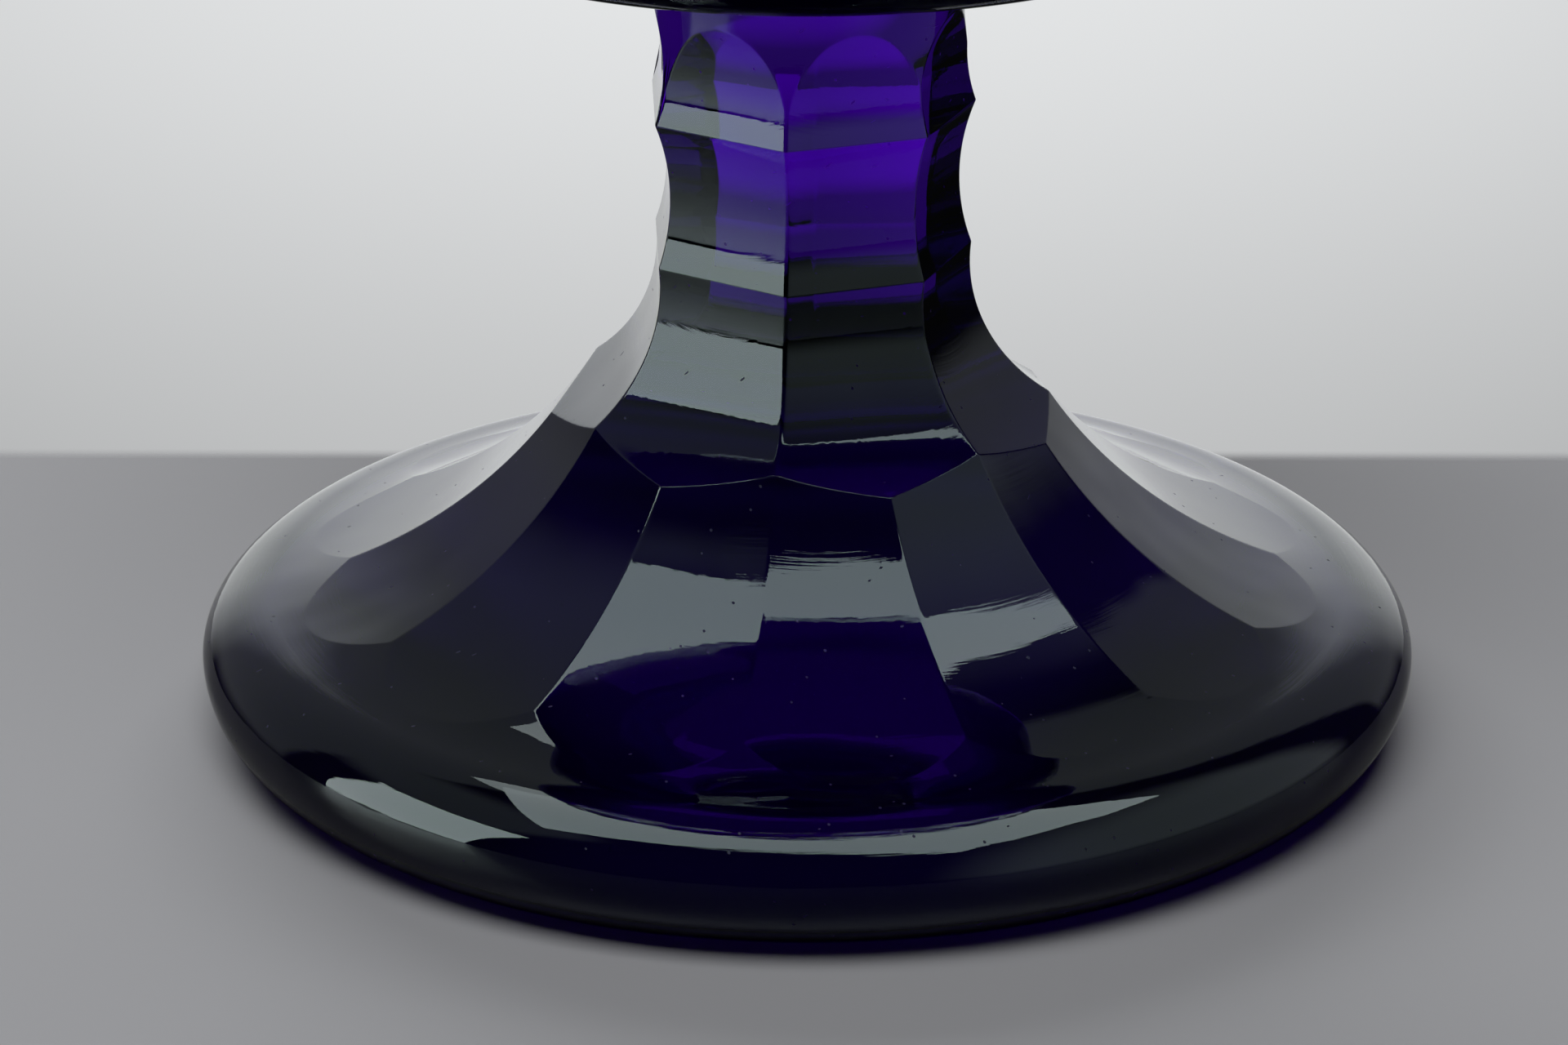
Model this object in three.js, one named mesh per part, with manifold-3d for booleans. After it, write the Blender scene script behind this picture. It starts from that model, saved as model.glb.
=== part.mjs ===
// A bowl of deep violet glass on a cut stem and foot: four glass pieces that stand on each other,
// the foot, the stem, the joining wafer and the bowl.
import * as THREE from "three";
import { mergeVertices } from "three/addons/utils/BufferGeometryUtils.js";
import Module from "manifold-3d";

// Sizes are in millimetres. The origin is the middle of the underside of the foot, +Z is up, and -Y is
// the front. Directions are degrees about +Z, from the front towards +X.

// Foot: a disc with a round edge and an oval shoulder, and a hollow flare that rises from it to the stem
const FOOT_RADIUS = 60;
const EDGE_RADIUS = 7.35; // below the widest place
const SHOULDER_WIDTH = 9; // half axes of the oval above the widest place
const SHOULDER_RISE = 6;
const FLARE_RADIUS = 30;
const FLARE_LEAN = 10; // degrees that the shoulder slopes where the flare leaves it
const FLARE_SLOPE = 45; // degrees at which the flare of the uncut blank turns into a straight cone
const FOOT_HEIGHT = 48.2; // up to the joint with the stem

// Stem: a column that narrows to a round neck
const STEM_LENGTH = 27;
const BLANK_RADIUS = 17.3; // of the uncut column
const NECK_RADIUS = 14.85; // at the narrowest place
const NECK_HOLLOW_RADIUS = 38;
const NECK_BELOW_TOP = 1.7; // from the narrowest place up to the joint with the wafer

// Panels of the stem. Their directions are a little uneven, as hand cutting leaves them.
const FIRST_PANEL = 18.8;
const PANEL_TURNS = [0, 49, 96, 147, 197, 254, 308];
const PANEL_TIP_REACH = 14.83; // how far the middle of a panel is from the axis, where it runs out on the neck
const PANEL_TIP_BELOW_NECK = 0.6;
const UPPER_RIDGE_REACH = 14.8;
const UPPER_RIDGE_ABOVE_JOINT = 14.3;
const LOWER_RIDGE_REACH = 14.58; // at the joint of the stem and the foot
const UPPER_WHEEL_RADIUS = 16.5;
const LOWER_WHEEL_RADIUS = 21;

// Panels of the flare, below those of the stem
const FLARE_PANEL_REACH = 24.97; // where the middle of a panel meets the ridge of two flutes
const FLARE_PANEL_BELOW_JOINT = 17.2;
const FLARE_WHEEL_RADIUS = 16.5;

// Flutes of the foot, two to each panel
const FLUTE_END_REACH = 50.5;
const FLUTE_WHEEL_RADIUS = 44;

const WHEEL_WIDTH = 40;

// Joining wafer
const WAFER_THICKNESS = 4.5;

// Bowl
const BOWL_SEAT_RADIUS = 20.35; // of the flat underside
const BOWL_UNDER_RADIUS = 70; // of the underside, from the seat out
const BOWL_UNDER_SLOPE = 16; // degrees that the underside reaches where it turns up into the wall
const BOWL_TURN_RADIUS = 9;
const BOWL_WALL_SLOPE = 77; // degrees
const BOWL_DEPTH = 58; // from the seat to the top of the rim
const BOWL_WALL = 7;
const BOWL_BASE = 20; // thickness under the hollow
const HOLLOW_TURN_RADIUS = 28;

// Panels around the bowl
const BOWL_PANELS = 14;
const BOWL_PANEL_FOOT_ABOVE_SEAT = 7;
const BOWL_PANEL_TOP_BELOW_RIM = 9;
const BOWL_PANEL_RADIUS = 140;
const BOWL_PANEL_OVERRUN = 2; // degrees that the flat sides run on past their ends, outside the wall

// How finely round shapes are divided
const ROUND_STEPS = 72;
const WHEEL_STEPS = 72;
const EDGE_STEPS = 10;
const CURVE_STEPS = 6;
const BOWL_STEPS = 10;
const RIM_STEPS = 8;

const footTop = FOOT_HEIGHT;
const stemTop = footTop + STEM_LENGTH;
const bowlSeat = stemTop + WAFER_THICKNESS;
const neckHeight = stemTop - NECK_BELOW_TOP;

const glass = {
  color: 0x2a0a78,
  roughness: 0.04,
  metalness: 0,
  transparent: true,
  opacity: 0.85,
};

const wasm = await Module();
wasm.setup();

const radians = THREE.MathUtils.degToRad;

// Points of an arc in the half plane of a lathe profile, where x is the reach from the axis and y the
// height. Angles are degrees from the direction of growing reach.
function arc(centre, radius, from, to, steps) {
  const points = [];
  for (let i = 0; i <= steps; i += 1) {
    const angle = radians(from + ((to - from) * i) / steps);
    points.push(new THREE.Vector2(centre.x + radius * Math.cos(angle), centre.y + radius * Math.sin(angle)));
  }
  return points;
}

// The direction from a centre to a point of a profile, in degrees as arc() takes them
function directionOf(centre, point) {
  return THREE.MathUtils.radToDeg(Math.atan2(point.y - centre.y, point.x - centre.x));
}

// The height of the lower half of a circle at a given reach
function underCircle(centre, radius, reach) {
  return centre.y - Math.sqrt(radius ** 2 - (reach - centre.x) ** 2);
}

// The centre of the circle of a given radius through two points of a profile. It lies on the side away
// from the axis if b is below a.
function circleThrough(a, b, radius) {
  const along = new THREE.Vector2().subVectors(b, a);
  const half = along.length() / 2;
  const offset = Math.sqrt(radius ** 2 - half ** 2) / (2 * half);
  return new THREE.Vector2((a.x + b.x) / 2 - along.y * offset, (a.y + b.y) / 2 + along.x * offset);
}

// A turned shape with its axis on Z. The profile runs from the axis at the bottom to the axis at the top.
function turned(profile, steps = ROUND_STEPS) {
  return new THREE.LatheGeometry(profile, steps).rotateX(Math.PI / 2);
}

function solidOf(geometry) {
  const plain = geometry.clone();
  plain.deleteAttribute("normal");
  plain.deleteAttribute("uv");
  const merged = mergeVertices(plain);
  return new wasm.Manifold(
    new wasm.Mesh({
      numProp: 3,
      vertProperties: new Float32Array(merged.attributes.position.array),
      triVerts: new Uint32Array(merged.index.array),
    }),
  );
}

function geometryOf(solid) {
  const mesh = solid.getMesh();
  const geometry = new THREE.BufferGeometry();
  geometry.setAttribute("position", new THREE.BufferAttribute(mesh.vertProperties, mesh.numProp));
  geometry.setIndex(new THREE.BufferAttribute(mesh.triVerts, 1));
  geometry.computeVertexNormals();
  return geometry;
}

function piece(name, solid) {
  const mesh = new THREE.Mesh(geometryOf(solid), new THREE.MeshStandardMaterial(glass));
  mesh.name = name;
  return mesh;
}

// A cutting wheel, with its axle level and square to the given direction, that cuts on the circle through
// two points of the profile.
function wheel(direction, upper, lower, radius) {
  const centre = circleThrough(upper, lower, radius);
  return solidOf(
    new THREE.CylinderGeometry(radius, radius, WHEEL_WIDTH, WHEEL_STEPS)
      .rotateZ(Math.PI / 2)
      .translate(0, -centre.x, centre.y)
      .rotateZ(radians(direction)),
  );
}

function cutAll(blank, directions, upper, lower, radius) {
  return directions.reduce((rest, direction) => rest.subtract(wheel(direction, upper, lower, radius)), blank);
}

// Panel directions, and two flutes to each panel, a quarter of the way to the panels on both sides
const panelDirections = PANEL_TURNS.map((turn) => FIRST_PANEL + turn);
const fluteDirections = panelDirections.flatMap((direction, i) => {
  const last = panelDirections.length - 1;
  const before = i > 0 ? panelDirections[i - 1] : panelDirections[last] - 360;
  const after = i < last ? panelDirections[i + 1] : panelDirections[0] + 360;
  return [direction - (direction - before) / 4, direction + (after - direction) / 4];
});

// Round edge, oval shoulder and flare of the uncut foot
const edgeCentre = new THREE.Vector2(FOOT_RADIUS - EDGE_RADIUS, EDGE_RADIUS);
const shoulderTurn = Math.atan2(SHOULDER_RISE, SHOULDER_WIDTH * Math.tan(radians(FLARE_LEAN)));
const shoulder = [];
for (let i = 0; i <= EDGE_STEPS; i += 1) {
  const turn = (shoulderTurn * i) / EDGE_STEPS;
  const inwards = SHOULDER_WIDTH * (1 - Math.cos(turn));
  shoulder.push(new THREE.Vector2(FOOT_RADIUS - inwards, EDGE_RADIUS + SHOULDER_RISE * Math.sin(turn)));
}
const flareCentre = new THREE.Vector2(
  shoulder[EDGE_STEPS].x + FLARE_RADIUS * Math.sin(radians(FLARE_LEAN)),
  shoulder[EDGE_STEPS].y + FLARE_RADIUS * Math.cos(radians(FLARE_LEAN)),
);

// The places where the cuts meet, as reach of the cut from the axis and height
const panelTip = new THREE.Vector2(PANEL_TIP_REACH, neckHeight - PANEL_TIP_BELOW_NECK);
const upperRidge = new THREE.Vector2(UPPER_RIDGE_REACH, footTop + UPPER_RIDGE_ABOVE_JOINT);
const lowerRidge = new THREE.Vector2(LOWER_RIDGE_REACH, footTop);
const flarePanelEnd = new THREE.Vector2(FLARE_PANEL_REACH, footTop - FLARE_PANEL_BELOW_JOINT);
const halfFlute = 180 / fluteDirections.length;
const fluteStart = new THREE.Vector2(FLARE_PANEL_REACH * Math.cos(radians(halfFlute)), flarePanelEnd.y);
const fluteEnd = new THREE.Vector2(FLUTE_END_REACH, underCircle(flareCentre, FLARE_RADIUS, FLUTE_END_REACH));

function foot() {
  const flare = arc(flareCentre, FLARE_RADIUS, 270 - FLARE_LEAN, 270 - FLARE_SLOPE, CURVE_STEPS);
  const coneStart = flare[flare.length - 1];
  const coneRise = (coneStart.x - BLANK_RADIUS) * Math.tan(radians(FLARE_SLOPE));
  const profile = [
    new THREE.Vector2(0, 0),
    ...arc(edgeCentre, EDGE_RADIUS, -90, 0, EDGE_STEPS / 2),
    ...shoulder.slice(1),
    ...flare.slice(1),
    new THREE.Vector2(BLANK_RADIUS, coneStart.y + coneRise),
    new THREE.Vector2(BLANK_RADIUS, footTop),
    new THREE.Vector2(0, footTop),
  ];
  const blank = solidOf(turned(profile));
  const panelled = cutAll(blank, panelDirections, lowerRidge, flarePanelEnd, FLARE_WHEEL_RADIUS);
  return cutAll(panelled, fluteDirections, fluteStart, fluteEnd, FLUTE_WHEEL_RADIUS);
}

const neckHollow = new THREE.Vector2(NECK_RADIUS + NECK_HOLLOW_RADIUS, neckHeight);
const neckTopAngle = 180 - THREE.MathUtils.radToDeg(Math.asin(NECK_BELOW_TOP / NECK_HOLLOW_RADIUS));
const blankAngle =
  180 + THREE.MathUtils.radToDeg(Math.acos((neckHollow.x - BLANK_RADIUS) / NECK_HOLLOW_RADIUS));
const neckTop = arc(neckHollow, NECK_HOLLOW_RADIUS, blankAngle, neckTopAngle, CURVE_STEPS).pop();

function stem() {
  const profile = [
    new THREE.Vector2(0, footTop),
    new THREE.Vector2(BLANK_RADIUS, footTop),
    ...arc(neckHollow, NECK_HOLLOW_RADIUS, blankAngle, neckTopAngle, CURVE_STEPS),
    new THREE.Vector2(0, stemTop),
  ];
  const blank = solidOf(turned(profile));
  const lowerTier = cutAll(blank, panelDirections, upperRidge, lowerRidge, LOWER_WHEEL_RADIUS);
  return cutAll(lowerTier, panelDirections, panelTip, upperRidge, UPPER_WHEEL_RADIUS);
}

function joiningWafer() {
  const hollow = new THREE.Vector2(neckTop.x + WAFER_THICKNESS, stemTop);
  const profile = [
    new THREE.Vector2(0, stemTop),
    ...arc(hollow, WAFER_THICKNESS, 180, 90, CURVE_STEPS),
    new THREE.Vector2(0, bowlSeat),
  ];
  return solidOf(turned(profile));
}

// The outside of the bowl: the underside, the turn and the wall
const bowlRim = bowlSeat + BOWL_DEPTH;
const underCentre = new THREE.Vector2(BOWL_SEAT_RADIUS, bowlSeat + BOWL_UNDER_RADIUS);
const under = arc(underCentre, BOWL_UNDER_RADIUS, -90, BOWL_UNDER_SLOPE - 90, CURVE_STEPS);
const turnCentre = new THREE.Vector2().lerpVectors(
  under[under.length - 1],
  underCentre,
  BOWL_TURN_RADIUS / BOWL_UNDER_RADIUS,
);
const turn = arc(turnCentre, BOWL_TURN_RADIUS, BOWL_UNDER_SLOPE - 90, BOWL_WALL_SLOPE - 90, BOWL_STEPS);
const wallStart = turn[turn.length - 1];

// The reach of the outside of the straight wall at a given height
function wallReach(height) {
  return wallStart.x + (height - wallStart.y) / Math.tan(radians(BOWL_WALL_SLOPE));
}

// Flat sides around the bowl. Between their two ends they lie inside the wall, and past them outside it.
function bowlPanels() {
  const startHeight = bowlSeat + BOWL_PANEL_FOOT_ABOVE_SEAT;
  const startReach = turnCentre.x + Math.sqrt(BOWL_TURN_RADIUS ** 2 - (startHeight - turnCentre.y) ** 2);
  const start = new THREE.Vector2(startReach, startHeight);
  const endHeight = bowlRim - BOWL_PANEL_TOP_BELOW_RIM;
  const end = new THREE.Vector2(wallReach(endHeight), endHeight);
  const centre = circleThrough(end, start, BOWL_PANEL_RADIUS);
  const from = directionOf(centre, start) + BOWL_PANEL_OVERRUN;
  const to = directionOf(centre, end) - BOWL_PANEL_OVERRUN;
  const side = arc(centre, BOWL_PANEL_RADIUS, from, to, BOWL_STEPS);
  const bottom = bowlSeat - BOWL_WALL;
  const top = bowlRim + BOWL_WALL;
  const toCorner = 1 / Math.cos(Math.PI / BOWL_PANELS);
  const profile = [
    new THREE.Vector2(0, bottom),
    new THREE.Vector2(side[0].x, bottom),
    ...side,
    new THREE.Vector2(side[side.length - 1].x, top),
    new THREE.Vector2(0, top),
  ];
  profile.forEach((point) => point.setX(point.x * toCorner));
  return turned(profile, BOWL_PANELS).rotateZ(radians(FIRST_PANEL));
}

function bowl() {
  const wallAcross = BOWL_WALL / Math.sin(radians(BOWL_WALL_SLOPE));
  const floor = bowlSeat + BOWL_BASE;
  const turnTop = floor + HOLLOW_TURN_RADIUS * (1 - Math.cos(radians(BOWL_WALL_SLOPE)));
  const hollowCentre = new THREE.Vector2(
    wallReach(turnTop) - wallAcross - HOLLOW_TURN_RADIUS * Math.sin(radians(BOWL_WALL_SLOPE)),
    floor + HOLLOW_TURN_RADIUS,
  );
  const rimRadius = BOWL_WALL / 2;
  const rimHeight = bowlRim - rimRadius;
  const rimCentre = new THREE.Vector2(wallReach(rimHeight) - wallAcross / 2, rimHeight);
  const profile = [
    new THREE.Vector2(0, bowlSeat),
    ...under,
    ...turn.slice(1),
    ...arc(rimCentre, rimRadius, BOWL_WALL_SLOPE - 90, BOWL_WALL_SLOPE + 90, RIM_STEPS),
    ...arc(hollowCentre, HOLLOW_TURN_RADIUS, BOWL_WALL_SLOPE - 90, -90, BOWL_STEPS),
    new THREE.Vector2(0, floor),
  ];
  return solidOf(turned(profile)).intersect(solidOf(bowlPanels()));
}

const footedBowl = new THREE.Group();
footedBowl.add(piece("foot", foot()));
footedBowl.add(piece("stem", stem()));
footedBowl.add(piece("joining_wafer", joiningWafer()));
footedBowl.add(piece("bowl", bowl()));

export default footedBowl;
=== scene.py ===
"""A footed bowl of deep violet cut glass, on a plain floor before a pale backdrop.

Each glass piece is a surface of two parameters: the azimuth about the upright axis, and the place on the
profile. The cuts are worked out the way a glass cutter makes them: a wheel of known radius, pressed into
the turned blank from a known direction.
"""
import math

import bpy
import numpy as np
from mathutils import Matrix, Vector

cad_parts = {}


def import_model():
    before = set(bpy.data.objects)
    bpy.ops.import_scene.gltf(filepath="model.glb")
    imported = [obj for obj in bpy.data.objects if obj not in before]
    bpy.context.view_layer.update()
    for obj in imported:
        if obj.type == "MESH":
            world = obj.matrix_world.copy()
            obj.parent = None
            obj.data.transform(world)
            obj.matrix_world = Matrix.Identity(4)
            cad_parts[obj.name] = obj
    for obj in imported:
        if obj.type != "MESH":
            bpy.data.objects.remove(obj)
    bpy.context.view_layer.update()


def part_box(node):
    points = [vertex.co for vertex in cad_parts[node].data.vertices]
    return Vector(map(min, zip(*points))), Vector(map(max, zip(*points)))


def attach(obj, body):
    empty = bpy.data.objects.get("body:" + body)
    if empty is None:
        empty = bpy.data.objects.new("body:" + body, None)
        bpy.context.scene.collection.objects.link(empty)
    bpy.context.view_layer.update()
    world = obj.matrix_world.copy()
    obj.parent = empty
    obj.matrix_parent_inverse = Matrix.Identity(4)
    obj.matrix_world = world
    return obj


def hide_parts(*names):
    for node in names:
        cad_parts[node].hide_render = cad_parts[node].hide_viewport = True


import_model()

# Sizes are in millimetres until a mesh is made. Directions are degrees about +Z, from the front (-Y)
# towards +X. A point of a profile is a pair of its reach from the axis and its height.
MM = 0.001


def height_of(node, end):
    """The lowest (0) or highest (1) height of a node of the frame."""
    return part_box(node)[end][2] / MM


# Heights of the joints, from the frame
foot_top = height_of("foot", 1)
stem_top = height_of("stem", 1)
bowl_seat = height_of("bowl", 0)
bowl_rim = height_of("bowl", 1)

# Foot
FOOT_RADIUS = 60
EDGE_RADIUS = 7.35
SHOULDER_WIDTH = 9
SHOULDER_RISE = 6
FLARE_RADIUS = 30
FLARE_LEAN = 10
FLARE_SLOPE = 45

# Stem
BLANK_RADIUS = 17.3
NECK_RADIUS = 14.85
NECK_HOLLOW_RADIUS = 38
NECK_BELOW_TOP = 1.7

# Cuts of the stem and the foot
FIRST_PANEL = 18.8
PANEL_TURNS = (0, 49, 96, 147, 197, 254, 308)
PANEL_TIP_REACH = 14.83
PANEL_TIP_BELOW_NECK = 0.6
UPPER_RIDGE_REACH = 14.8
UPPER_RIDGE_ABOVE_JOINT = 14.3
LOWER_RIDGE_REACH = 14.58
UPPER_WHEEL_RADIUS = 16.5
LOWER_WHEEL_RADIUS = 21
FLARE_PANEL_REACH = 24.97
FLARE_PANEL_BELOW_JOINT = 17.2
FLARE_WHEEL_RADIUS = 16.5
FLUTE_END_REACH = 50.5
FLUTE_WHEEL_RADIUS = 44
FLUTES_STOP_BELOW_JOINT = 4

# Bowl
BOWL_SEAT_RADIUS = 20.35
BOWL_UNDER_RADIUS = 70
BOWL_UNDER_SLOPE = 16
BOWL_TURN_RADIUS = 9
BOWL_WALL_SLOPE = 77
BOWL_WALL = 7
BOWL_BASE = 20
HOLLOW_TURN_RADIUS = 28
BOWL_PANELS = 14
BOWL_PANEL_FOOT_ABOVE_SEAT = 7
BOWL_PANEL_TOP_BELOW_RIM = 9
BOWL_PANEL_RADIUS = 140

# How far the polishing has rounded the ridges: the depth, in millimetres, over which two cuts blend
PANEL_SOFTNESS = 0.06
FLUTE_SOFTNESS = 0.008
JOIN_SOFTNESS = 0.03
FLUTE_END_SOFTNESS = 0.002

# Half of the gap between two pieces that were joined while hot
JOINT_GAP = 0.002

# Fineness of the surfaces
COLUMNS_PER_FLUTE = 26
COLUMN_GATHERING = 0.85  # 0 spaces the columns of a flute evenly, 1 gathers them at its two ridges
SAMPLES_PER_PROFILE = 1400
FAN_SHARE = 0.93  # share of the samples of the foot's profile that are on rays that fan out
TURN_WEIGHT = 10  # millimetres of profile that count as much as a turn of one radian, as rows are set out
FOOT_ROWS = (26, 96, 84)  # from the shoulder to the flutes' ends, to the panels' ends, and to the joint
STEM_ROWS = (56, 60, 36)  # to the ridge between the tiers, to the arches, and to the top of the neck
BOWL_ROWS = (96,)
EDGE_POINTS = 20
SHOULDER_POINTS = 30
WAFER_POINTS = 24
UNDER_POINTS = 12
TURN_POINTS = 200
RIM_POINTS = 26
INNER_WALL_POINTS = 12
HOLLOW_POINTS = 40
SHARP_FROM = 35  # ridges that turn by more degrees than this are drawn sharp


# Profiles

def point(reach, height):
    return np.array([reach, height], float)


def arc(centre, radius, start, end, count):
    """Points on a circle about the centre, from one angle to the other, in degrees from outwards."""
    angles = np.radians(np.linspace(start, end, count))
    return centre + radius * np.stack([np.cos(angles), np.sin(angles)], axis=1)


def centre_through(upper, lower, radius):
    """The centre of a circle through two points of a profile, on the side away from the axis."""
    along = lower - upper
    half = np.hypot(*along) / 2
    offset = math.sqrt(radius ** 2 - half ** 2) / (2 * half)
    return (upper + lower) / 2 + offset * np.array([-along[1], along[0]])


# The edge of the foot: a quarter circle up to the widest place, and a quarter of an oval above it, as far
# as the place where the oval slopes like the start of the flare
lean = math.radians(FLARE_LEAN)
edge = arc(point(FOOT_RADIUS - EDGE_RADIUS, EDGE_RADIUS), EDGE_RADIUS, -90, 0, EDGE_POINTS)
shoulder_end = math.atan2(SHOULDER_RISE, SHOULDER_WIDTH * math.tan(lean))
shoulder_turns = np.linspace(0, shoulder_end, SHOULDER_POINTS)
shoulder_reach = FOOT_RADIUS - SHOULDER_WIDTH * (1 - np.cos(shoulder_turns))
shoulder = np.stack([shoulder_reach, EDGE_RADIUS + SHOULDER_RISE * np.sin(shoulder_turns)], axis=1)
flare_centre = shoulder[-1] + FLARE_RADIUS * point(math.sin(lean), math.cos(lean))
neck_height = stem_top - NECK_BELOW_TOP
neck_curve_depth = math.sqrt(NECK_HOLLOW_RADIUS ** 2 - NECK_BELOW_TOP ** 2)
neck_top_reach = NECK_RADIUS + NECK_HOLLOW_RADIUS - neck_curve_depth

# Where the cuts meet: how far the middle of each cut is from the axis, and its height
panel_tip = point(PANEL_TIP_REACH, neck_height - PANEL_TIP_BELOW_NECK)
upper_ridge = point(UPPER_RIDGE_REACH, foot_top + UPPER_RIDGE_ABOVE_JOINT)
lower_ridge = point(LOWER_RIDGE_REACH, foot_top)
flare_panel_end = point(FLARE_PANEL_REACH, foot_top - FLARE_PANEL_BELOW_JOINT)

panel_directions = FIRST_PANEL + np.array(PANEL_TURNS, float)
panel_gaps = np.diff(np.append(panel_directions, panel_directions[0] + 360))
flute_directions = np.sort(np.concatenate([
    panel_directions - np.roll(panel_gaps, 1) / 4,
    panel_directions + panel_gaps / 4,
]))
flute_start = point(FLARE_PANEL_REACH * math.cos(math.pi / len(flute_directions)), flare_panel_end[1])
flute_end_drop = math.sqrt(FLARE_RADIUS ** 2 - (FLUTE_END_REACH - flare_centre[0]) ** 2)
flute_end = point(FLUTE_END_REACH, flare_centre[1] - flute_end_drop)


# Cuts

def cuts(directions, upper, lower, radius, limit=math.inf):
    """A wheel for each direction: the direction, its circle's centre and radius, and its highest place."""
    centre = centre_through(upper, lower, radius)
    return [(direction, centre, radius, limit) for direction in directions]


def exit_of(wheel, start, heading, azimuths):
    """How far each ray goes before it leaves the wheel.

    In the upright plane at azimuth a, a wheel with direction d shows as an ellipse: its circle, drawn out
    by 1 / cos(a - d). The ray leaves it at the larger root of a quadratic. Rays that miss it get -1.
    """
    direction, centre, radius, limit = wheel
    lean_in = np.cos(np.radians(azimuths - direction))[None, :]
    across = heading[:, :1] * lean_in
    up = heading[:, 1:]
    from_centre = start[:, :1] * lean_in - centre[0]
    above_centre = start[:, 1:] - centre[1]
    a = across ** 2 + up ** 2
    b = across * from_centre + up * above_centre
    c = from_centre ** 2 + above_centre ** 2 - radius ** 2
    inside = b ** 2 - a * c
    reached = (-b + np.sqrt(np.maximum(inside, 0))) / a
    cutting = (inside > 0) & (lean_in > 0) & (start[:, 1:] + up * reached < limit)
    return np.where(cutting, reached, -1.0)


def blended(depths, softness):
    """The deepest of several depths, rounded off: softness * log(sum(exp(depth / softness)))."""
    return softness * np.logaddexp.reduce(np.array(depths) / softness, axis=0)


def cut_surface(start, heading, blank, groups, end_softness, azimuths):
    """The surface that the wheels leave, as reach and height for every ray and azimuth, and its owner.

    Each ray runs inwards from outside the blank, to the deepest of the wheels and the blank. A group is a
    list of wheels and the softness of the ridges between them. The owner is 0 where the blank is left, and
    otherwise the number of the group that cut deepest.
    """
    depths = [
        blended([exit_of(wheel, start, heading, azimuths) for wheel in wheels], softness)
        for wheels, softness in groups
    ]
    uncut = np.broadcast_to(blank[:, None], depths[0].shape)
    owner = np.argmax([uncut, *depths], axis=0)
    depth = blended([uncut, blended(depths, JOIN_SOFTNESS)], end_softness)
    return start[:, :1] + heading[:, :1] * depth, start[:, 1:] + heading[:, 1:] * depth, owner


def gather_rows(reach, height, edges, rows):
    """Set out the rows of each column by length plus turning, so that they gather at the ridges.

    edges holds, for each edge that crosses every column, the sample where it lies in each column. The rows
    are shared out over the stretches between them, so one row follows each edge.
    """
    run = np.diff(reach, axis=0)
    rise = np.diff(height, axis=0)
    turning = np.abs(np.diff(np.unwrap(np.arctan2(rise, run), axis=0), axis=0, append=0))
    turning[-1] = 0
    weight = np.cumsum(np.hypot(run, rise) + TURN_WEIGHT * turning, axis=0)
    weight = np.vstack([np.zeros(reach.shape[1]), weight])
    columns = np.arange(reach.shape[1])
    ends = [weight[0], *(weight[crossing, columns] for crossing in edges), weight[-1]]
    stretches = [
        np.linspace(low, high, count, endpoint=False) for low, high, count in zip(ends, ends[1:], rows)
    ]
    wanted = np.vstack([*stretches, ends[-1]])
    reach = np.stack([np.interp(wanted[:, i], weight[:, i], reach[:, i]) for i in columns], axis=1)
    height = np.stack([np.interp(wanted[:, i], weight[:, i], height[:, i]) for i in columns], axis=1)
    return reach, height


def azimuths_between(borders):
    """Azimuths in degrees, with as many in each stretch between two ridges, gathered towards the ridges.

    In a stretch, t runs from -1 to 1, and the azimuth is the middle plus half of the stretch times a mix
    of t and sin(t * 90 degrees).
    """
    t = np.linspace(-1, 1, COLUMNS_PER_FLUTE, endpoint=False)
    eased = (1 - COLUMN_GATHERING) * t + COLUMN_GATHERING * np.sin(t * math.pi / 2)
    ends = np.append(borders[1:], borders[0] + 360)
    return ((borders + ends)[:, None] / 2 + (ends - borders)[:, None] / 2 * eased).ravel()


def borders_of(directions):
    """The azimuths halfway between neighbouring cuts."""
    return (directions + np.append(directions[1:], directions[0] + 360)) / 2


cut_azimuths = azimuths_between(borders_of(flute_directions))


# Meshes

def placed(name, data):
    """A new object for the data, linked into the scene."""
    holder = bpy.data.objects.new(name, data)
    bpy.context.collection.objects.link(holder)
    return holder


def turned_mesh(name, reach, height, azimuths, joints=()):
    """A closed skin from rings of points, with a point on the axis below the first and above the last.

    reach and height have a row for each ring and a column for each azimuth. Vertex (i, j) is at
    x = reach * sin(azimuth), y = -reach * cos(azimuth). joints are the strips of faces, counted from the
    bottom, where the piece is fused to its neighbour.
    """
    rings, around = reach.shape
    angle = np.radians(azimuths)
    ring_points = np.stack([reach * np.sin(angle), -reach * np.cos(angle), height], axis=2).reshape(-1, 3)
    poles = [[0, 0, height[0].mean()], [0, 0, height[-1].mean()]]
    points = np.vstack([ring_points, poles]) * MM
    here = np.arange(around)
    after = np.roll(here, -1)
    low = np.arange(rings - 1)[:, None] * around
    strips = np.stack([low + here, low + after, low + around + after, low + around + here], axis=2)
    bottom, top = rings * around, rings * around + 1
    last = (rings - 1) * around
    fan = np.stack([np.full(around, bottom), after, here], axis=1)
    lid = np.stack([np.full(around, top), last + here, last + after], axis=1)
    mesh = bpy.data.meshes.new(name)
    mesh.from_pydata(points.tolist(), [], fan.tolist() + strips.reshape(-1, 4).tolist() + lid.tolist())
    strip_of_face = np.repeat(np.arange(rings + 1), around)
    fused = mesh.attributes.new("fused", "FLOAT", "FACE")
    fused.data.foreach_set("value", np.isin(strip_of_face, joints).astype(np.float32))
    mesh.shade_smooth()
    mesh.set_sharp_from_angle(angle=math.radians(SHARP_FROM))
    return placed(name, mesh)


def rings_from(profile, azimuths):
    """The same profile at every azimuth, as rows of reach and height."""
    around = np.ones(len(azimuths))
    return profile[:, :1] * around, profile[:, 1:] * around


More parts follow.
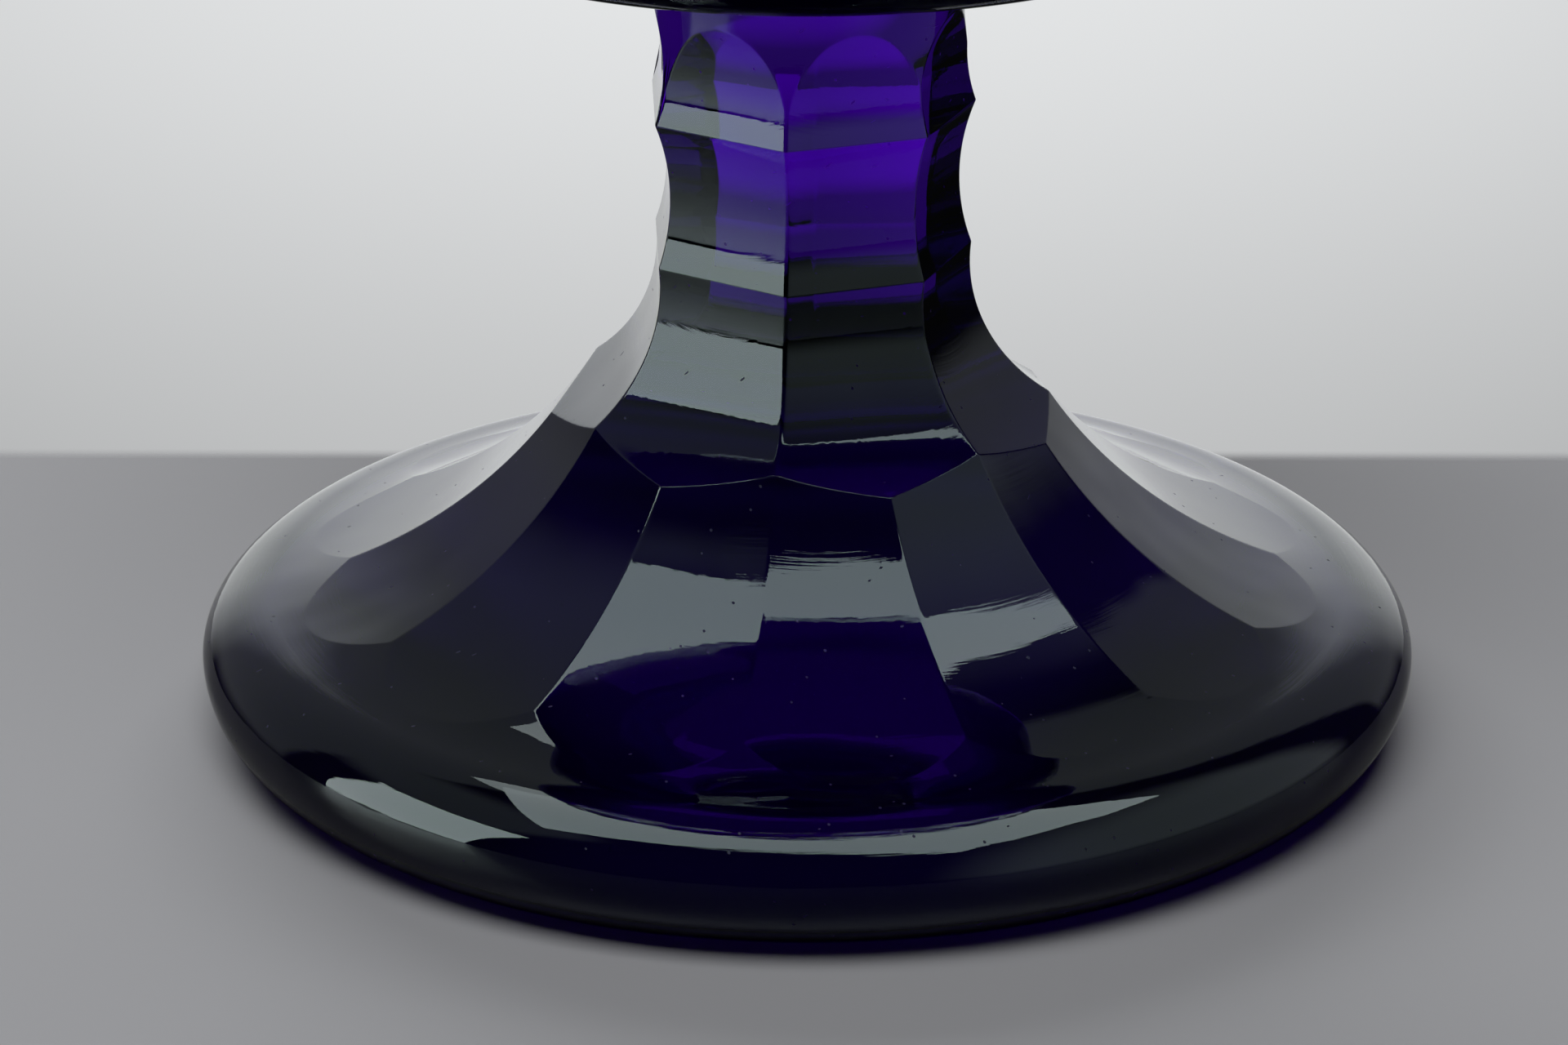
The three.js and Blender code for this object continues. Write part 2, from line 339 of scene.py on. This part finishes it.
def stacked(*parts):
    """Rings of several stretches, one above the other."""
    return np.vstack([part[0] for part in parts]), np.vstack([part[1] for part in parts])


# Pieces

flare_panels = cuts(panel_directions, lower_ridge, flare_panel_end, FLARE_WHEEL_RADIUS)
flutes_top = foot_top - FLUTES_STOP_BELOW_JOINT
flutes = cuts(flute_directions, flute_start, flute_end, FLUTE_WHEEL_RADIUS, flutes_top)
lower_tier = cuts(panel_directions, upper_ridge, lower_ridge, LOWER_WHEEL_RADIUS)
upper_tier = cuts(panel_directions, panel_tip, upper_ridge, UPPER_WHEEL_RADIUS)


def level_rays(low, high, count):
    """Rays that run level towards the axis from the reach of the flare's centre."""
    heights = np.linspace(low, high, count)
    start = np.stack([np.full(count, flare_centre[0]), heights], axis=1)
    return start, np.tile([-1.0, 0.0], (count, 1))


def foot():
    """Flat underside, round edge, then the flare, on rays that fan out from the centre of the flare."""
    fan_count = round(SAMPLES_PER_PROFILE * FAN_SHARE)
    angles = np.radians(np.linspace(270 - FLARE_LEAN, 180, fan_count))
    fan_heading = np.stack([np.cos(angles), np.sin(angles)], axis=1)
    fan_start = np.tile(flare_centre, (fan_count, 1))
    level_count = SAMPLES_PER_PROFILE - fan_count + 1
    level_start, level_heading = level_rays(flare_centre[1], foot_top - JOINT_GAP, level_count)
    start = np.vstack([fan_start, level_start[1:]])
    heading = np.vstack([fan_heading, level_heading[1:]])
    cone_height = (flare_centre - FLARE_RADIUS * math.sqrt(0.5)).sum()
    with np.errstate(divide="ignore"):
        to_cone = (cone_height - start.sum(axis=1)) / heading.sum(axis=1)
        to_column = (BLANK_RADIUS - start[:, 0]) / heading[:, 0]
    beyond_cone = heading[:, 0] < -math.cos(math.radians(FLARE_SLOPE))
    blank = np.where(beyond_cone, np.minimum(to_cone, to_column), FLARE_RADIUS)
    groups = [(flutes, FLUTE_SOFTNESS), (flare_panels, PANEL_SOFTNESS), (lower_tier, PANEL_SOFTNESS)]
    reach, height, owner = cut_surface(start, heading, blank, groups, FLUTE_END_SOFTNESS, cut_azimuths)
    flute_ends = np.argmax(owner == 1, axis=0)
    panel_ends = np.argmax(owner == 2, axis=0)
    flare = gather_rows(reach, height, [flute_ends, panel_ends], FOOT_ROWS)
    below_flare = np.vstack([edge, shoulder[1:-1]])
    reach, height = stacked(rings_from(below_flare, cut_azimuths), flare)
    return turned_mesh("foot_glass", reach, height, cut_azimuths, joints=[len(reach)])


def stem():
    """The panelled column and its round neck, on level rays."""
    start, heading = level_rays(foot_top + JOINT_GAP, stem_top - JOINT_GAP, SAMPLES_PER_PROFILE)
    hollow = NECK_HOLLOW_RADIUS ** 2 - (start[:, 1] - neck_height) ** 2
    neck = NECK_RADIUS + NECK_HOLLOW_RADIUS - np.sqrt(hollow)
    blank = start[:, 0] - np.minimum(neck, BLANK_RADIUS)
    groups = [
        (flare_panels, PANEL_SOFTNESS), (lower_tier, PANEL_SOFTNESS), (upper_tier, PANEL_SOFTNESS)
    ]
    reach, height, owner = cut_surface(start, heading, blank, groups, JOIN_SOFTNESS, cut_azimuths)
    tier_ridge = np.full(len(cut_azimuths), np.searchsorted(start[:, 1], upper_ridge[1]))
    panel_tops = np.argmax((owner == 0) & (start[:, 1:] > upper_ridge[1]), axis=0)
    reach, height = gather_rows(reach, height, [tier_ridge, panel_tops], STEM_ROWS)
    return turned_mesh("stem_glass", reach, height, cut_azimuths, joints=[0, len(reach)])


wafer_thickness = bowl_seat - stem_top


def joining_wafer():
    """A disc of glass whose edge runs out in a quarter circle from the neck to the bowl."""
    centre = point(neck_top_reach + wafer_thickness, stem_top)
    profile = arc(centre, wafer_thickness, 180, 90, WAFER_POINTS)
    profile[0, 1] += JOINT_GAP
    profile[-1, 1] -= JOINT_GAP
    reach, height = rings_from(profile, cut_azimuths)
    return turned_mesh("wafer_glass", reach, height, cut_azimuths, joints=[0, len(reach)])


def bowl():
    """Underside, turn and panelled wall, then the round rim and the smooth hollow."""
    under_centre = point(BOWL_SEAT_RADIUS, bowl_seat + BOWL_UNDER_RADIUS)
    under = arc(under_centre, BOWL_UNDER_RADIUS, -90, BOWL_UNDER_SLOPE - 90, UNDER_POINTS)
    turn_centre = under[-1] + (under_centre - under[-1]) * BOWL_TURN_RADIUS / BOWL_UNDER_RADIUS
    turn = arc(turn_centre, BOWL_TURN_RADIUS, BOWL_UNDER_SLOPE - 90, BOWL_WALL_SLOPE - 90, TURN_POINTS)
    slope = math.radians(BOWL_WALL_SLOPE)
    wall_start = turn[-1]

    def wall_reach(height):
        return wall_start[0] + (height - wall_start[1]) / math.tan(slope)

    across = BOWL_WALL / math.sin(slope)
    rim_height = bowl_rim - BOWL_WALL / 2
    rim_centre = point(wall_reach(rim_height) - across / 2, rim_height)
    rim = arc(rim_centre, BOWL_WALL / 2, BOWL_WALL_SLOPE - 90, BOWL_WALL_SLOPE + 90, RIM_POINTS)

    panel_foot_height = bowl_seat + BOWL_PANEL_FOOT_ABOVE_SEAT
    panel_foot_out = math.sqrt(BOWL_TURN_RADIUS ** 2 - (panel_foot_height - turn_centre[1]) ** 2)
    panel_foot = point(turn_centre[0] + panel_foot_out, panel_foot_height)
    panel_top_height = bowl_rim - BOWL_PANEL_TOP_BELOW_RIM
    panel_top = point(wall_reach(panel_top_height), panel_top_height)
    directions = FIRST_PANEL + np.arange(BOWL_PANELS) * 360 / BOWL_PANELS
    wheels = cuts(directions, panel_top, panel_foot, BOWL_PANEL_RADIUS)
    azimuths = azimuths_between(borders_of(directions))

    wall = np.linspace(wall_start, rim[0], SAMPLES_PER_PROFILE)
    outside = np.vstack([turn[:-1], wall])
    outset = 20.0
    start = outside + [outset, 0]
    heading = np.tile([-1.0, 0.0], (len(start), 1))
    blank = np.full(len(start), outset)
    groups = [(wheels, PANEL_SOFTNESS)]
    reach, height, _ = cut_surface(start, heading, blank, groups, JOIN_SOFTNESS, azimuths)
    side = gather_rows(reach, height, [], BOWL_ROWS)

    hollow_bottom = bowl_seat + BOWL_BASE
    turn_top = hollow_bottom + HOLLOW_TURN_RADIUS * (1 - math.cos(slope))
    hollow_reach = wall_reach(turn_top) - across - HOLLOW_TURN_RADIUS * math.sin(slope)
    hollow_centre = point(hollow_reach, hollow_bottom + HOLLOW_TURN_RADIUS)
    hollow = arc(hollow_centre, HOLLOW_TURN_RADIUS, BOWL_WALL_SLOPE - 90, -90, HOLLOW_POINTS)
    inner_wall = np.linspace(rim[-1], hollow[0], INNER_WALL_POINTS)[1:-1]
    seat_ring = point(neck_top_reach + wafer_thickness, bowl_seat)
    reach, height = stacked(
        rings_from(np.vstack([seat_ring, under[:-1]]), azimuths),
        side,
        rings_from(np.vstack([rim[1:], inner_wall, hollow]), azimuths),
    )
    return turned_mesh("bowl_glass", reach, height, azimuths, joints=[0])


# Nodes

def node_material(name):
    """A new material, with its nodes and its links."""
    material = bpy.data.materials.new(name)
    material.use_nodes = True
    return material, material.node_tree.nodes, material.node_tree.links


def combine(nodes, links, operation, *values):
    """One or two numbers, each a socket or a value, brought together by a Math node."""
    maths = nodes.new("ShaderNodeMath")
    maths.operation = operation
    for value, socket in zip(values, maths.inputs):
        if isinstance(value, (int, float)):
            socket.default_value = value
        else:
            links.new(value, socket)
    return maths.outputs["Value"]


def product(nodes, links, first, *others):
    """Several numbers, each a socket or a value, multiplied from left to right."""
    for other in others:
        first = combine(nodes, links, "MULTIPLY", first, other)
    return first


def soft_step(nodes, links, source, low, high):
    """A mask that runs smoothly from 0 to 1 as the source runs from low to high."""
    step = nodes.new("ShaderNodeMapRange")
    step.interpolation_type = "SMOOTHSTEP"
    step.inputs["From Min"].default_value = min(low, high)
    step.inputs["From Max"].default_value = max(low, high)
    if low > high:
        step.inputs["To Min"].default_value = 1
        step.inputs["To Max"].default_value = 0
    links.new(source, step.inputs["Value"])
    return step.outputs["Result"]


def region(nodes, links, *edges):
    """The product of several soft steps. Each edge is a source, and the two values that it runs between."""
    return product(nodes, links, *(soft_step(nodes, links, source, *span) for source, span in edges))


def axes_of(nodes, links, vector):
    """The x, y and z of a vector."""
    split = nodes.new("ShaderNodeSeparateXYZ")
    links.new(vector, split.inputs["Vector"])
    return split.outputs["X"], split.outputs["Y"], split.outputs["Z"]


def opened(nodes, links, shader, share):
    """The shader, clear by the given share."""
    clear = nodes.new("ShaderNodeBsdfTransparent")
    mixed = nodes.new("ShaderNodeMixShader")
    links.new(share, mixed.inputs["Fac"])
    links.new(shader, mixed.inputs[1])
    links.new(clear.outputs["BSDF"], mixed.inputs[2])
    return mixed.outputs["Shader"]


# Glass

# The glass lets only violet through, at any thickness: nearly no green, and little red to the blue
VIOLET = (0.17, 0.004, 1.0, 1)
ABSORPTION_PER_METRE = (55, 90, 48)
BOWL_COLOUR_DEPTH = 1.5
GLASS_INDEX = 1.52
REFLECTION_TINT = (0.8, 1.0, 1.0, 1)

# The finish of the surface. Lengths are in metres, and turns are Euler angles in degrees.
STREAK_LENGTH = 0.012
STREAK_SPACING = 0.0005
STREAK_HEIGHT = 0.000012
STREAK_DETAIL = 3
PATCH_SIZE = 0.017
PATCH_TURN = (0, 0, 150)
PATCH_EDGE = (0.45, 0.65)
BETWEEN_PATCHES = 0.1  # share of the streaks' height that is left there
WAVE_SPACING = 0.011
WAVE_TURN = (30, 20, 0)
WAVE_HEIGHT = 0.00009
SOFT_DETAIL = 1  # detail of the noise for the patches and the waves
MARK_ROUGHNESS = 0.7
BASE_ROUGHNESS = 0.32
BASE_WEAR_EDGE = (0.0003, 0.0001)

# Specks, short fibres and scratches: turn of the cells, their sizes, radius, and share of the cells that
# have a mark
MARKS = (
    ((25, 40, 15), (0.0019, 0.0022, 0.0026), 0.085, 0.5),
    ((20, 35, 10), (0.006, 0.0016, 0.0016), 0.08, 0.3),
    ((10, 50, -50), (0.03, 0.003, 0.003), 0.035, 0.2),
)


def noise(nodes, links, vector, detail):
    """Noise from 0 to 1 with a cell for each unit of the vector."""
    texture = nodes.new("ShaderNodeTexNoise")
    texture.inputs["Scale"].default_value = 1
    texture.inputs["Detail"].default_value = detail
    links.new(vector, texture.inputs["Vector"])
    return texture.outputs["Fac"]


def scaled(nodes, links, vector, turn, sizes):
    """The vector, turned by Euler angles in degrees and measured in cells of the given sizes."""
    turning = nodes.new("ShaderNodeVectorRotate")
    turning.rotation_type = "EULER_XYZ"
    turning.inputs["Rotation"].default_value = [math.radians(angle) for angle in turn]
    links.new(vector, turning.inputs["Vector"])
    measured = nodes.new("ShaderNodeVectorMath")
    measured.operation = "DIVIDE"
    measured.inputs[1].default_value = sizes
    links.new(turning.outputs["Vector"], measured.inputs[0])
    return measured.outputs["Vector"]


def marks(nodes, links, vector, turn, sizes, radius, share):
    """A mask of scattered marks: 1 near the middles of the given share of cells, and 0 elsewhere.

    The radius is a share of the cell, so a long cell makes a scratch and a cubic one a speck.
    """
    cells = nodes.new("ShaderNodeTexVoronoi")
    cells.inputs["Scale"].default_value = 1
    links.new(scaled(nodes, links, vector, turn, sizes), cells.inputs["Vector"])
    near = soft_step(nodes, links, cells.outputs["Distance"], radius, radius / 2)
    pick = nodes.new("ShaderNodeSeparateColor")
    links.new(cells.outputs["Color"], pick.inputs["Color"])
    chosen = combine(nodes, links, "LESS_THAN", pick.outputs["Red"], share)
    return product(nodes, links, near, chosen)


def finish(nodes, links):
    """Bump and roughness of the polished surface.

    The bump adds polishing streaks to a gentle waviness. The streaks run level around the glass: they are
    noise that is coarse along x and y, and fine along the height less the reach from the axis. Their height
    changes from patch to patch. The roughness is that of the marks or of the worn base, and elsewhere 0.
    """
    place = nodes.new("ShaderNodeTexCoord").outputs["Object"]
    x, y, z = axes_of(nodes, links, place)
    squares = combine(nodes, links, "ADD", product(nodes, links, x, x), product(nodes, links, y, y))
    across = combine(nodes, links, "SUBTRACT", z, combine(nodes, links, "SQRT", squares))
    along = nodes.new("ShaderNodeCombineXYZ")
    for source, cell, axis in (
        (x, STREAK_LENGTH, "X"), (y, STREAK_LENGTH, "Y"), (across, STREAK_SPACING, "Z"),
    ):
        links.new(combine(nodes, links, "DIVIDE", source, cell), along.inputs[axis])
    patches = noise(nodes, links, scaled(nodes, links, place, PATCH_TURN, [PATCH_SIZE] * 3), SOFT_DETAIL)
    strength = soft_step(nodes, links, patches, *PATCH_EDGE)
    strength = combine(nodes, links, "MAXIMUM", strength, BETWEEN_PATCHES)
    streaks = noise(nodes, links, along.outputs["Vector"], STREAK_DETAIL)
    streaks = product(nodes, links, streaks, STREAK_HEIGHT, strength)
    waves = noise(nodes, links, scaled(nodes, links, place, WAVE_TURN, [WAVE_SPACING] * 3), SOFT_DETAIL)
    waves = product(nodes, links, waves, WAVE_HEIGHT)
    bump = nodes.new("ShaderNodeBump")
    bump.inputs["Distance"].default_value = 1
    links.new(combine(nodes, links, "ADD", streaks, waves), bump.inputs["Height"])

    worn = soft_step(nodes, links, z, *BASE_WEAR_EDGE)
    roughness = product(nodes, links, worn, BASE_ROUGHNESS)
    for turn, sizes, radius, share in MARKS:
        mark = marks(nodes, links, place, turn, sizes, radius, share)
        mark = product(nodes, links, mark, MARK_ROUGHNESS)
        roughness = combine(nodes, links, "MAXIMUM", roughness, mark)
    return bump.outputs["Normal"], roughness


def violet_glass(name, depth):
    """Polished glass with its colour in the body, and open where two pieces are fused.

    depth is how deep the colour is, next to that of the foot and the stem.
    """
    material, nodes, links = node_material(name)
    glass = nodes["Principled BSDF"]
    glass.inputs["Base Color"].default_value = VIOLET
    glass.inputs["Transmission Weight"].default_value = 1
    glass.inputs["IOR"].default_value = GLASS_INDEX
    glass.inputs["Specular Tint"].default_value = REFLECTION_TINT
    normal, roughness = finish(nodes, links)
    links.new(normal, glass.inputs["Normal"])
    links.new(roughness, glass.inputs["Roughness"])

    fused = nodes.new("ShaderNodeAttribute")
    fused.attribute_name = "fused"
    surface = opened(nodes, links, glass.outputs["BSDF"], fused.outputs["Fac"])

    body = nodes.new("ShaderNodeVolumeAbsorption")
    density = max(ABSORPTION_PER_METRE)
    body.inputs["Density"].default_value = density * depth
    body.inputs["Color"].default_value = [*(1 - a / density for a in ABSORPTION_PER_METRE), 1]
    output = nodes["Material Output"]
    links.new(surface, output.inputs["Surface"])
    links.new(body.outputs["Volume"], output.inputs["Volume"])
    return material


# Floor, in metres

FLOOR_SIDE = 1.3
FLOOR_FRONT = -0.6
FLOOR_BACK = 0.067
FLOOR_BACK_BLUR = 0.0018
FLOOR_THICKNESS = 0.02
FLOOR_DROP = 0.0002
FLOOR_ROUGHNESS = 0.3
GREY_TO_CAMERA = (0.2, 0.202, 0.21, 1)
GLOSS_TO_CAMERA = 0
GREY_IN_GLASS = (0.045, 0.045, 0.047, 1)
GLOSS_IN_GLASS = 0.5


def floor_material():
    """Grey, fading out over the last few millimetres of the back edge, which is out of focus.

    To the camera it is matt. In and through the glass it is darker, with a satin gloss.
    """
    material, nodes, links = node_material("floor")
    rays = nodes.new("ShaderNodeLightPath")
    grey = nodes.new("ShaderNodeMixShader")
    links.new(rays.outputs["Is Camera Ray"], grey.inputs["Fac"])
    in_glass = nodes["Principled BSDF"]
    to_camera = nodes.new("ShaderNodeBsdfPrincipled")
    for shader, socket, colour, gloss in (
        (in_glass, grey.inputs[1], GREY_IN_GLASS, GLOSS_IN_GLASS),
        (to_camera, grey.inputs[2], GREY_TO_CAMERA, GLOSS_TO_CAMERA),
    ):
        shader.inputs["Base Color"].default_value = colour
        shader.inputs["Specular IOR Level"].default_value = gloss
        shader.inputs["Roughness"].default_value = FLOOR_ROUGHNESS
        links.new(shader.outputs["BSDF"], socket)
    y = axes_of(nodes, links, nodes.new("ShaderNodeTexCoord").outputs["Object"])[1]
    fading = soft_step(nodes, links, y, FLOOR_BACK - FLOOR_BACK_BLUR, FLOOR_BACK + FLOOR_BACK_BLUR)
    surface = opened(nodes, links, grey.outputs["Shader"], fading)
    links.new(surface, nodes["Material Output"].inputs["Surface"])
    return material


def studio_floor():
    """A slab whose top lies just under the foot."""
    back = FLOOR_BACK + FLOOR_BACK_BLUR
    outline = [
        (-FLOOR_SIDE, FLOOR_FRONT), (FLOOR_SIDE, FLOOR_FRONT), (FLOOR_SIDE, back), (-FLOOR_SIDE, back)
    ]
    heights = (-FLOOR_DROP, -FLOOR_DROP - FLOOR_THICKNESS)
    corners = [(x, y, z) for z in heights for x, y in outline]
    sides = [(i, i + 4, (i + 1) % 4 + 4, (i + 1) % 4) for i in range(4)]
    mesh = bpy.data.meshes.new("floor")
    mesh.from_pydata(corners, [], [(0, 1, 2, 3), (7, 6, 5, 4), *sides])
    mesh.materials.append(floor_material())
    placed("floor", mesh)


# Lamps. Each has its name, its place, the point that it faces, its width, depth, radiance and turn in
# degrees, and then whether it lights the floor, is mirrored in the glass, and shows through the glass.

LAMPS = (
    ("top_softbox", (0.028, 0.004, 1.5), (0.028, 0.004, 0), 1.65, 1.225, 2.9, -17.8, False, True, False),
    ("front_softbox", (-0.15, -0.55, 1.4), (0, 0, 0), 1.2, 0.9, 7.8, 0, True, False, False),
    ("behind_softbox", (-0.15, 1.1, 0.62), (0, 0, 0), 1.4, 0.5, 10.5, 0, True, False, False),
    ("back_softbox", (-0.11, 0.8, 1.5), (-0.11, 0.8, 0), 1.02, 0.36, 2.0, 0, True, True, True),
    ("left_softbox", (-1.27, -0.28, 0.5), (0, 0, 0.02), 0.84, 1.0, 4.0, 0, False, True, True),
)


def softbox(name, place, aim, width, depth, radiance, turn):
    """A rectangular lamp of even radiance that faces the aim, turned about the upright by some degrees."""
    lamp = bpy.data.lights.new(name, "AREA")
    lamp.shape = "RECTANGLE"
    lamp.size = width
    lamp.size_y = depth
    lamp.energy = radiance * math.pi * width * depth
    holder = placed(name, lamp)
    holder.location = place
    heading = np.array(aim, float) - place
    flat = math.hypot(heading[0], heading[1])
    swing = math.atan2(-heading[0], heading[1]) if flat else 0
    holder.rotation_euler = (math.atan2(flat, -heading[2]), 0, swing + math.radians(turn))
    return holder


def lights():
    for *form, on_floor, mirrored, through_glass in LAMPS:
        holder = softbox(*form)
        holder.visible_diffuse = on_floor
        holder.visible_glossy = mirrored
        holder.visible_transmission = through_glass


# Studio, as radiance by the direction of a ray: x to the right, y to the back and z up, each from -1 to 1.
# A span is the two values between which a part of the studio fades in.

BACKDROP_TINT = (0.985, 1.0, 1.01, 1)
BACKDROP_BACK_SPAN = (0.78, 0.95)
BACKDROP_HEIGHT_SPAN = (-0.55, -0.15)
UPPER_SPAN = (-0.1, 0.15)
GLOW = 0.2
GLOW_SKEW = 0.17
GLOW_BACK_SPAN = (0.45, 0.5)
CORNER_SIDE_SPAN = (-0.38, -0.5)
CORNER_BACK_SPAN = (-0.4, -0.25)
CORNER_HEIGHT_SPAN = (0.55, 0.7)
WALL = 0.4
WALL_SIDE_SPAN = (0.3, 0.7)
WALL_BACK_SPAN = (0.45, 0.3)
STUDIO_THROUGH_GLASS = 0.4
CEILING_THROUGH_GLASS = 1.5
CEILING_SPAN = (0.55, 0.85)
STUDIO_DARK = 0.008

# Backdrop as the camera sees it: its radiance low and high, and how it falls off towards the sides
SEEN_LOW = 0.50
SEEN_HIGH = 0.81
SEEN_HEIGHT_SPAN = (-0.4, -0.25)
SEEN_FALL = 5
SEEN_LEAST = 0.85


def world():
    """The studio: a pale backdrop, a dim glow behind the object and at the upper left, and a dim wall.

    That is what the glass mirrors. Seen through the glass, the studio is nowhere darker than
    STUDIO_THROUGH_GLASS, and its ceiling is bright. From the floor it is nearly dark, so that the lamps
    alone light the floor. The camera itself sees the backdrop all round, paler upwards, and times
    1 - SEEN_FALL * x * x towards the sides.
    """
    studio = bpy.data.worlds.new("studio")
    bpy.context.scene.world = studio
    studio.use_nodes = True
    nodes = studio.node_tree.nodes
    links = studio.node_tree.links
    x, y, z = axes_of(nodes, links, nodes.new("ShaderNodeTexCoord").outputs["Generated"])

    backdrop = region(nodes, links, (y, BACKDROP_BACK_SPAN), (z, BACKDROP_HEIGHT_SPAN))
    upper = soft_step(nodes, links, z, *UPPER_SPAN)
    behind = combine(nodes, links, "SUBTRACT", y, product(nodes, links, x, GLOW_SKEW))
    corner = region(nodes, links, (x, CORNER_SIDE_SPAN), (y, CORNER_BACK_SPAN), (z, CORNER_HEIGHT_SPAN))
    glow = combine(nodes, links, "MAXIMUM", soft_step(nodes, links, behind, *GLOW_BACK_SPAN), corner)
    glow = product(nodes, links, glow, GLOW, upper)
    wall = region(nodes, links, (x, WALL_SIDE_SPAN), (y, WALL_BACK_SPAN))
    wall = product(nodes, links, wall, WALL, upper)
    mirrored = combine(nodes, links, "ADD", combine(nodes, links, "ADD", backdrop, glow), wall)

    rise = product(nodes, links, soft_step(nodes, links, z, *SEEN_HEIGHT_SPAN), SEEN_HIGH - SEEN_LOW)
    seen = combine(nodes, links, "ADD", rise, SEEN_LOW)
    falling = combine(nodes, links, "SUBTRACT", 1, product(nodes, links, x, x, SEEN_FALL))
    falling = combine(nodes, links, "MAXIMUM", falling, SEEN_LEAST)
    seen = product(nodes, links, seen, falling)

    rays = nodes.new("ShaderNodeLightPath")
    through = rays.outputs["Is Transmission Ray"]
    polished = combine(nodes, links, "MAXIMUM", rays.outputs["Is Glossy Ray"], through)
    ceiling = product(nodes, links, soft_step(nodes, links, z, *CEILING_SPAN), CEILING_THROUGH_GLASS)
    ceiling = combine(nodes, links, "MAXIMUM", ceiling, STUDIO_THROUGH_GLASS)
    unseen = product(nodes, links, mirrored, polished)
    unseen = combine(nodes, links, "MAXIMUM", unseen, product(nodes, links, through, ceiling))
    before_floor = combine(nodes, links, "LESS_THAN", rays.outputs["Diffuse Depth"], 1)
    unseen = combine(nodes, links, "MAXIMUM", product(nodes, links, unseen, before_floor), STUDIO_DARK)
    strength = nodes.new("ShaderNodeMix")
    links.new(rays.outputs["Is Camera Ray"], strength.inputs["Factor"])
    links.new(unseen, strength.inputs["A"])
    links.new(seen, strength.inputs["B"])
    nodes["Background"].inputs["Color"].default_value = BACKDROP_TINT
    links.new(strength.outputs["Result"], nodes["Background"].inputs["Strength"])


# Camera, found from the outline of the foot and the corners of the cuts

CAMERA_PLACE = (0, -0.4537, 0.20382)
CAMERA_PITCH = 22.18
CAMERA_YAW = -0.29
CAMERA_LENS = 113.59
CAMERA_SENSOR = 36
CAMERA_NEAREST = 0.01


def camera():
    lens = bpy.data.cameras.new("camera")
    lens.lens = CAMERA_LENS
    lens.sensor_width = CAMERA_SENSOR
    lens.clip_start = CAMERA_NEAREST
    holder = placed("camera", lens)
    holder.location = CAMERA_PLACE
    holder.rotation_euler = (math.radians(90 - CAMERA_PITCH), 0, math.radians(-CAMERA_YAW))
    bpy.context.scene.camera = holder


# Scene

plain_glass = violet_glass("violet_glass", 1)
deep_glass = violet_glass("deep_violet_glass", BOWL_COLOUR_DEPTH)
for make, node, glass in (
    (foot, "foot", plain_glass), (stem, "stem", plain_glass),
    (joining_wafer, "joining_wafer", plain_glass), (bowl, "bowl", deep_glass),
):
    piece = make()
    piece.data.materials.append(glass)
    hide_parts(node)
    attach(piece, "root")

studio_floor()
lights()
world()
camera()
bpy.context.scene.view_settings.view_transform = "Standard"
